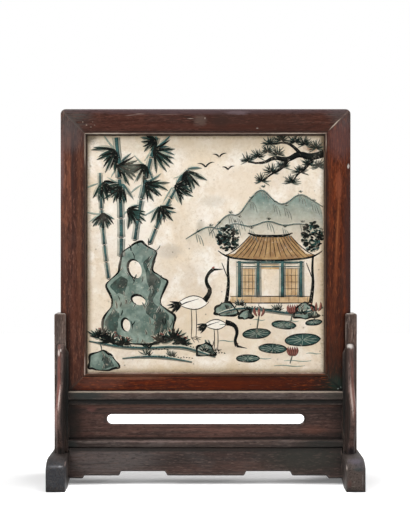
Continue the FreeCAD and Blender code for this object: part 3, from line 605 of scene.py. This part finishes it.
# Pine branch from the right: knotted wood with round fans of needles.
twig_widths = [6, 4.6, 3.2, 0.8]
pine_limbs = (([(381, 352), (360, 344), (340, 353), (322, 340), (300, 347), (282, 334), (258, 338)],
               [12, 11, 9.5, 8, 6.5, 4.4, 1.0]),
              ([(342, 352), (330, 366), (312, 371), (294, 366)], twig_widths),
              ([(322, 341), (312, 326), (296, 320), (280, 306)], twig_widths),
              ([(362, 345), (352, 328), (338, 320), (328, 304)], twig_widths))
for limb, widths in pine_limbs:
    brush("ink", limb, widths)
    brush("ochre", [(u, v + 1) for u, v in limb], [0.4 * width for width in widths])
for u, v in ((258, 339), (274, 346), (290, 354), (294, 367), (312, 373), (334, 370), (280, 307), (296, 322),
             (314, 330), (328, 305), (342, 322), (356, 334), (368, 360), (306, 350), (372, 330), (350, 366)):
    fan("teal", u, v, 5, 90, 150, 8.0, 2.4)
    fan("green", u, v, 17, 90, 220, 15.0, 0.9)
    fan("ink", u, v, 11, 90, 180, 11.0, 0.9)


# Open pavilion on the far bank: ochre roof and lattice, posts and beams in teal, lines in ink.
def at_pavilion(*points):
    """Points of the pavilion, in its own mm from the middle of its floor, at their place in the picture."""
    return around(294, 116, 1.5, *points)


wash("pavilion_roof", "roof_ochre", [at_pavilion((-50, 48), (-38, 50), (-22, 69), (22, 69), (38, 50),
                                                 (50, 48), (34, 44), (0, 42), (-34, 44))], smooth=False)
wash("pavilion_lattice", "ochre", [at_pavilion((-31, 5), (-31, 34), (-15, 34), (-15, 5)),
                                   at_pavilion((15, 5), (15, 34), (31, 34), (31, 5)),
                                   at_pavilion((-12, 33), (-12, 39), (12, 39), (12, 33))], smooth=False)
wash("pavilion_floor", "ochre", [at_pavilion((-44, -3), (-42, 4), (42, 4), (44, -3))], smooth=False)
for i in range(15):
    top, eave = -20 + 2.86 * i, -42 + 6 * i
    even_brush("ink", at_pavilion((top, 68), (0.55 * top + 0.45 * eave, 55), (eave, 46)), 1.5)
# The ridge, the eaves, both hips, the floor's two edges and the step, each with the width of its line.
pavilion_lines = ((((-24, 72), (-18, 69), (0, 68.5), (18, 69), (24, 72)), 4.2),
                  (((-56, 53), (-49, 47), (-34, 44), (0, 42), (34, 44), (49, 47), (56, 53)), 3.0),
                  (((-49, 48), (-38, 50), (-22, 69)), 2.2), (((49, 48), (38, 50), (22, 69)), 2.2),
                  (((-44, -3), (0, -3.4), (44, -3)), 2.6), (((-43, 4), (0, 4), (43, 4)), 2.0),
                  (((-12, -3), (-15, -10), (15, -10), (12, -3)), 1.6))
for line, width in pavilion_lines:
    even_brush("ink", at_pavilion(*line), width)
for height, width in ((40.5, 5.0), (36.0, 2.0)):
    even_brush("teal", at_pavilion((-36, height), (0, height), (36, height)), width)
for u in (-33, -13, 13, 33):
    brush("teal", at_pavilion((u, 42), (u, 22), (u, 3)), [5.0, 4.6, 5.4])
for left in (-31, 15):
    for step in range(5):
        u, v = left + 4 * step, 5 + 7.2 * step
        even_brush("ink", at_pavilion((u, 5), (u, 20), (u, 34)), 1.1)
        even_brush("ink", at_pavilion((left - 0.4, v), (left + 8, v), (left + 16.4, v)), 1.1)
for u in range(-40, 41, 10):
    even_brush("ink", at_pavilion((u, -3), (u, 0), (u, 4)), 0.9)

# Two trees beside the pavilion: crowns of many dabs over a bare trunk.
for u, v, across, high in ((226, 216, 34, 42), (362, 218, 32, 46)):
    brush("ink", [(u - 3, 112), (u + 2, 140), (u - 1, 168), (u + 1, 188)], [6.5, 4.6, 3.8, 3.0])
    even_brush("ink", [(u, 150), (u - 6, 166), (u - 10, 176)], 2.2)
    for _ in range(110):
        angle, reach = chance.uniform(0, math.tau), math.sqrt(chance.random())
        dab(chance.choice(("teal", "green", "green", "ink", "ink")), u + across / 2 * reach * math.cos(angle),
            v + high / 2 * reach * math.sin(angle), chance.uniform(3.0, 5.4))

# Banks: broken ground lines with small rocks, moss dots and tufts of grass.
small_rocks = (("bank_rock_left", 222, 100, 0.9), ("bank_rock_middle", 256, 92, 0.6),
               ("bank_rock_right", 352, 96, 1.0), ("near_rock", 190, 34, 0.8), ("corner_rock", 24, 16, 1.25))
for name, u, v, size in small_rocks:
    outline = around(u, v, size, (-20, -8), (-16, 8), (-2, 16), (12, 10), (22, -6), (0, -11))
    shade = around(u, v, size, (0, 10), (10, 6), (17, -5), (2, -8))
    stone_in_garden(name, outline, [], [shade], 6)
for bank in ([(2, 50), (40, 42), (90, 38), (150, 42), (182, 32), (206, 24)],
             [(206, 92), (240, 106), (300, 98), (340, 92), (379, 104)],
             [(56, 22), (90, 26), (130, 24), (168, 16)]):
    even_brush("teal", bank, 3.6)
    for u, v in bank[1:-1]:
        fan("green", u + 4, v + 1, 7, 90, 110, 13, 1.2)
        fan("ink", u + 9, v, 5, 85, 90, 9, 1.0)
        for step in range(6):
            dab("ink", u + 16 + 4.5 * step, v - 1 + chance.uniform(-1, 1), 2.0)

# Lotus in the pond: round leaves with pale ribs, red buds and flowers on thin stalks, and lines of water.
lotus_leaves = ((272, 62, 46, 16, 4), (316, 76, 40, 13, -5), (346, 52, 58, 20, 3), (298, 38, 46, 15, -3),
                (364, 80, 27, 9, 6), (258, 22, 38, 12, 0))
for i, (u, v, across, high, turn) in enumerate(lotus_leaves):
    rim = oval(u, v, across, high, turn)
    wash("lotus_leaf_%d" % (i + 1), "deep_teal", [rim])
    brush("ink", rim + rim[:1], [1.6, 2.4, 1.2] * 4 + [1.2])
    for rib in range(10):
        angle = math.tau * rib / 10 + 0.3
        even_brush("pale_teal", [(u + along * across * math.cos(angle), v + up * high * math.sin(angle))
                                 for along, up in ((0.04, 0.04), (0.22, 0.24), (0.42, 0.42))], 1.1)
for u, v, high, petals in ((276, 96, 32, 3), (330, 100, 26, 5), (368, 104, 24, 3), (330, 32, 18, 5)):
    even_brush("green", [(u - 4, v - high), (u - 2, v - 0.5 * high), (u, v - 4)], 2.0)
    for petal in range(petals):
        lean = 22 * (petal / (petals - 1) - 0.5)
        root, side, end = (u + 0.3 * lean, v - 6), (u + 0.9 * lean, v + 1), (u + 0.6 * lean, v + 9)
        brush("red", [root, side, end], [1.5, 8.0, 0.3])
        even_brush("ink", [(root[0] + 1, root[1]), (side[0] + 2.4, side[1]), end], 0.9)
for u, v, reach in ((210, 50, 28), (262, 22, 34), (316, 18, 44), (352, 30, 24), (212, 76, 22), (322, 82, 18),
                    (266, 84, 20), (300, 10, 50)):
    even_brush("pale_teal", [(u, v), (u + 0.3 * reach, v + 1.8), (u + 0.7 * reach, v - 1.6),
                             (u + reach, v + 0.4)], 1.8)

# Two cranes on the near bank, white with ink tails and necks.
for name, u, v, size in (("crane_standing", 170, 108, 1.1), ("crane_feeding", 206, 74, 0.8)):
    body = around(u, v, size, (-24, 2), (-10, 13), (10, 14), (23, 4), (12, -7), (-10, -6))
    wash(name, "shell", [body])
    brush("ink", body[3:] + body[:1], [0.6, 1.6, 1.4, 0.5])
    brush("ink", body[:4], [0.8, 1.4, 1.6, 0.8])
    for wing in range(5):
        even_brush("ink", around(u, v, size, (8 - 4 * wing, 9 - wing), (-7 - 3 * wing, 5 - wing),
                                 (-22 - wing, -1 - 1.5 * wing)), 1.3)
    fan("ink", u - 17 * size, v + 3 * size, 8, 208, 60, 21 * size, 3.2)
    for leg in (-3, 4):
        even_brush("ink", around(u, v, size, (leg, -5), (leg + 2, -26), (leg, -48)), 2.0)
        fan("ink", u + leg * size, v - 48 * size, 3, -20, 60, 10 * size, 0.8)
for neck, nod in (([(188, 115), (201, 129), (189, 145), (195, 161), (202, 165)], 1.0),
                  ([(222, 80), (236, 78), (242, 64), (236, 50), (240, 42)], -0.6)):
    brush("ink", neck, [9, 7, 5.2, 4.6, 6])
    u, v = neck[-1]
    brush("ink", [(u, v), (u + 7, v - 1 + nod), (u + 17, v - 2 + 3 * nod)], [4.2, 2.4, 0.5])
    dab("red", u + 0.5, v + 3.0, 3.6)

# Small birds crossing the sky.
for u, v, size in ((190, 330, 1.1), (212, 346, 0.9), (226, 326, 0.8)):
    brush("ink", around(u, v, size, (-12, 5), (-5, 7), (0, 0)), [0.4, 3.0, 2.6])
    brush("ink", around(u, v, size, (0, 0), (5, 8), (13, 7)), [2.4, 3.0, 0.5])


def rubbed_paint(name, hex_code, thin_hex, cover, fade=None):
    """Mineral colour bound in glue, dry and matt; the stone shows through where it has rubbed thin.
    A wash may fade out downwards, between two heights in mm above the picture's lower edge."""
    material, tree, shader, place = new_material(name)
    stone, grain = stone_colour(tree, place)
    # Widths in mm of flecks that have gone, of pools of thicker colour and of places rubbed thin.
    fleck_width, pool_width, rubbed_width = 4, 12, 34
    flecks = add_node(tree, "TexNoise", {"Vector": place, "Scale": 1 / (fleck_width * MM), "Detail": 4.0,
                                         "Roughness": 0.7})
    pools = add_node(tree, "TexNoise", {"Vector": place, "Scale": 1 / (pool_width * MM), "Detail": 3.0})
    pooled = add_node(tree, "MapRange", {0: pools, 1: 0.34, 2: 0.60})
    paint = add_node(tree, "Mix", {0: pooled, 6: linear(thin_hex), 7: linear(hex_code)}, data_type="RGBA")
    rubbing = add_node(tree, "TexNoise", {"Vector": place, "Scale": 1 / (rubbed_width * MM), "Detail": 4.0})
    kept = add_node(tree, "MapRange", {0: rubbing, 1: 0.70, 2: 0.54, 3: 0.88 * cover, 4: cover})
    share = add_node(tree, "MapRange", {0: flecks, 1: 0.76, 2: 0.60, 3: 0.30, 4: kept})
    if fade:
        none, full = [picture_bottom + height * MM for height in fade]
        height = add_node(tree, "SeparateXYZ", {0: place}).outputs["Z"]
        rising = add_node(tree, "MapRange", {0: height, 1: none, 2: full})
        share = add_node(tree, "Math", {0: share, 1: rising}, operation="MULTIPLY")
    colour = add_node(tree, "Mix", {0: share, 6: stone, 7: paint}, data_type="RGBA")
    bump = add_node(tree, "Bump", {"Height": grain, "Strength": 0.3, "Distance": 0.2 * MM})
    plug(tree, shader, {"Base Color": colour, "Normal": bump, "Roughness": 0.7, "Specular IOR Level": 0.06})
    return material


paints = {
    "hill_teal": rubbed_paint("mineral_green_hill_wash", "2F615E", "6E8C84", 0.88, fade=(206, 280)),
    "rock_teal": rubbed_paint("mineral_green_rock_wash", "345D56", "7C9389", 0.88),
    "rock_shade": rubbed_paint("mineral_green_rock_shade", "0D2725", "2A4C46", 0.95),
    "roof_ochre": rubbed_paint("yellow_ochre_dark", "8A6234", "B08A55", 0.90),
    "ochre": rubbed_paint("yellow_ochre", "B0844A", "CFAE7E", 0.80),
    "deep_teal": rubbed_paint("mineral_green_leaf_wash", "0F3533", "264F4A", 0.97),
    "shell": rubbed_paint("shell_white", "F8F3E8", "EFE6D8", 0.90),
    "bleed": rubbed_paint("mineral_green_bleed", "6F8F86", "A9B3A2", 0.40),
    "pale_teal": rubbed_paint("mineral_green_thin", "5F8179", "93A595", 0.80),
    "teal": rubbed_paint("mineral_green_teal", "0E3C3E", "2F605F", 0.96),
    "green": rubbed_paint("mineral_green_dark", "08201C", "173A35", 0.98),
    "red": rubbed_paint("red_earth", "6E2823", "9A5145", 0.92),
    "ink": rubbed_paint("lamp_black_ink", "0A0D0C", "1A1D19", 1.0),
}


def lay_film(film, pigment, height, turn, flatness):
    """Turns a drawn film into a closed mesh on the stone's face, painted and carried with the screen."""
    drawn = bpy.data.objects.new(film.name, film)
    bpy.context.scene.collection.objects.link(drawn)
    drawn.location.y = stone_face - height * MM
    drawn.rotation_euler.x = math.radians(turn)
    drawn.scale.y = flatness
    bpy.ops.object.select_all(action="DESELECT")
    drawn.select_set(True)
    bpy.context.view_layer.objects.active = drawn
    bpy.ops.object.convert(target="MESH")
    bpy.ops.object.transform_apply(location=True, rotation=True, scale=True)
    bpy.ops.object.mode_set(mode="EDIT")
    bpy.ops.mesh.select_all(action="SELECT")
    bpy.ops.mesh.remove_doubles(threshold=0.001 * MM)
    bpy.ops.mesh.normals_make_consistent(inside=False)
    bpy.ops.object.mode_set(mode="OBJECT")
    drawn.data.materials.clear()
    drawn.data.materials.append(paints[pigment])
    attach(drawn, "screen")


def trace(film, kind, points, place):
    """Adds one line to a film through points of the picture."""
    spline = film.splines.new(kind)
    spline.points.add(len(points) - 1)
    for point, (u, v) in zip(spline.points, points):
        point.co = (*place(picture_left + u * MM, picture_bottom + v * MM), 1)
    spline.order_u = 3
    return spline


# Washes are drawn flat and then stood upright; each is a hair prouder than the one before it.
wash_film = 0.04
wash_lift = 0.002
for layer, (name, pigment, outlines, smooth) in enumerate(flat_washes):
    film = bpy.data.curves.new("painted_" + name, "CURVE")
    film.dimensions = "2D"
    film.fill_mode = "BOTH"
    film.extrude = wash_film * MM / 2
    film.resolution_u = 4
    for outline in outlines:
        trace(film, "NURBS" if smooth else "POLY", outline, lambda x, z: (x, z, 0)).use_cyclic_u = True
    lay_film(film, pigment, wash_lift * layer, 90, 1.0)

# Strokes are round lines of the brush's width, pressed flat; each pigment lies over the one before it.
stroke_flatness = 0.015
first_lift = 0.08
stroke_lift = 0.02
for layer, (pigment, strokes) in enumerate(brush_strokes.items()):
    film = bpy.data.curves.new("painted_strokes_" + pigment, "CURVE")
    film.dimensions = "3D"
    film.bevel_depth = 1.0
    film.bevel_resolution = 0
    film.use_fill_caps = True
    film.resolution_u = 3
    for points, widths in strokes:
        spline = trace(film, "NURBS", points, lambda x, z: (x, 0, z))
        spline.use_endpoint_u = True
        for point, width in zip(spline.points, widths):
            point.radius = width * MM / 2
    lay_film(film, pigment, first_lift + stroke_lift * layer, 0, stroke_flatness)


# Back of the screen: three tongued softwood boards held by two battens that are pinned into the stiles.
# Plain unpolished wood, planed and darkened by time, with dust in the seams between the boards.
board_tone = dict(streak="4B3527", grey="5C5046", worn="927257", glint="94745A", pore="2A1C13",
                  line_share=0.5, glint_share=0.4, grey_share=0.5, scratch_share=0.2, worn_share=0.5,
                  blotch_share=0.3, roughness=0.62, shine=0.16)
seam_marks = [((seam, 9, 367), (0.9, 12, 600), "1A110B", 0.85) for seam in (-67.5, 67.5)]
board_hearts = {"back_board_left": "7A5A40", "back_board_centre": "6C4F39", "back_board_right": "836349"}
for board, heart in board_hearts.items():
    dress(aged_wood(board + "_softwood", "Z", dict(board_tone, heart=heart), (), seam_marks), board)
batten_wood = aged_wood("backing_batten_along_x", "X", dict(board_tone, heart="7A5A40"))
dress(batten_wood, "lower_back_batten", "upper_back_batten")
dress(peg_wood, "batten_pins")


# Studio: a white table, a large soft light above, one on each side in front and one behind.
# The camera stands at the height of the picture's middle, square to the screen.
scene = bpy.context.scene
scene.view_settings.view_transform = "Standard"
white = (1, 1, 1, 1)


def seen_by_eye(tree):
    """One for what the eye sees, straight on or mirrored in a gloss, and nothing for light that bounces."""
    rays = add_node(tree, "LightPath").outputs
    seen = add_node(tree, "Math", {0: rays["Is Camera Ray"], 1: rays["Is Glossy Ray"]}, operation="MAXIMUM")
    return add_node(tree, "Math", {0: seen, 1: rays["Is Transmission Ray"]}, operation="MAXIMUM")


# The walls look white, but they light the screen only a little.
world = bpy.data.worlds.new("studio_walls")
scene.world = world
world.use_nodes = True
sky = world.node_tree
wall_light = 0.18
strength = add_node(sky, "MapRange", {0: seen_by_eye(sky), 3: wall_light, 4: 1.0})
plug(sky, sky.nodes["Background"], {"Strength": strength, "Color": white})

# The table's card glows, a painted light: plain white further off, fainter beside the feet so that their
# shadow shows, and pale before the apron, where it lightens the shadow.
# Places are in metres from the middle of the stand, and each pair of shares goes with a pair of places.
table_size = 8.0
bounced_grey = (0.55, 0.55, 0.55, 1)
left_side, left_share = (-0.34, -0.24), (0.02, 0.14)
near, far = 0.14, 0.50
inside_feet, inside_share = (0.235, 0.215), (0.04, 0.7)
before_apron, least_share = (-0.008, -0.045), 0.04
bpy.ops.mesh.primitive_plane_add(size=table_size, location=(0, 0, 0))
table = bpy.context.active_object
table.name = "table_top"
card, tree, shader, place = new_material("table_white_card")
shows = seen_by_eye(tree)
colour = add_node(tree, "Mix", {0: shows, 6: bounced_grey, 7: white}, data_type="RGBA")
on_card = add_node(tree, "SeparateXYZ", {0: place}).outputs
shade = add_node(tree, "MapRange", {0: on_card["X"], 1: left_side[0], 2: left_side[1], 3: left_share[0],
                                    4: left_share[1]})
widened = add_node(tree, "VectorMath", {0: place, 1: (0.45, 1, 1), 2: (0.02, 0, 0)}, operation="MULTIPLY_ADD")
away = add_node(tree, "VectorMath", {0: widened}, operation="LENGTH")
whiteness = add_node(tree, "MapRange", {0: away, 1: near, 2: far, 3: shade, 4: 1.0})
across = add_node(tree, "Math", {0: on_card["X"]}, operation="ABSOLUTE")
between = add_node(tree, "MapRange", {0: across, 1: inside_feet[0], 2: inside_feet[1], 3: inside_share[0],
                                      4: inside_share[1]})
front = add_node(tree, "MapRange", {0: on_card["Y"], 1: before_apron[0], 2: before_apron[1], 3: least_share,
                                    4: between})
whitest = add_node(tree, "Math", {0: whiteness, 1: front}, operation="MAXIMUM")
lift = add_node(tree, "Math", {0: shows, 1: whitest}, operation="MULTIPLY")
plug(tree, shader, {"Base Color": colour, "Roughness": 0.9, "Emission Color": white,
                    "Emission Strength": lift})
table.data.materials.append(card)


def soft_light(name, place, width, height, power):
    """A rectangular soft light at a place, turned to face the middle of the screen."""
    data = bpy.data.lights.new(name, "AREA")
    data.shape = "RECTANGLE"
    data.size = width
    data.size_y = height
    data.energy = power
    lamp = bpy.data.objects.new(name, data)
    scene.collection.objects.link(lamp)
    lamp.location = place
    target = (0.0, 0.0, 0.30)
    direction = [t - p for t, p in zip(target, place)]
    lamp.rotation_euler = Vector(direction).to_track_quat("-Z", "Y").to_euler()


soft_light("overhead_soft_light", (0.0, -0.40, 2.1), 1.6, 1.2, 26)
soft_light("left_soft_light", (-1.7, -1.9, 1.5), 1.6, 1.6, 44)
soft_light("rear_soft_light", (1.6, 1.5, 1.3), 1.2, 1.2, 26)
soft_light("right_soft_light", (1.7, -1.6, 1.1), 1.4, 1.4, 14)

# Distances are in metres, and the picture's sides, middle and eye level are in its pixels.
camera_distance = 2.590
eye_height = 0.3906
long_side = 522
short_side = 410
focal_pixels = 1606
eye_row = 239.4
middle_column = 205.6
sensor_width = 36
camera_data = bpy.data.cameras.new("camera")
camera = bpy.data.objects.new("camera", camera_data)
scene.collection.objects.link(camera)
camera.location = (0, -camera_distance, eye_height)
camera.rotation_euler = (math.radians(90), 0, 0)
camera_data.sensor_width = sensor_width
camera_data.lens = sensor_width * focal_pixels / long_side
camera_data.shift_y = (eye_row - long_side / 2) / long_side
camera_data.shift_x = (short_side / 2 - middle_column) / long_side
scene.camera = camera
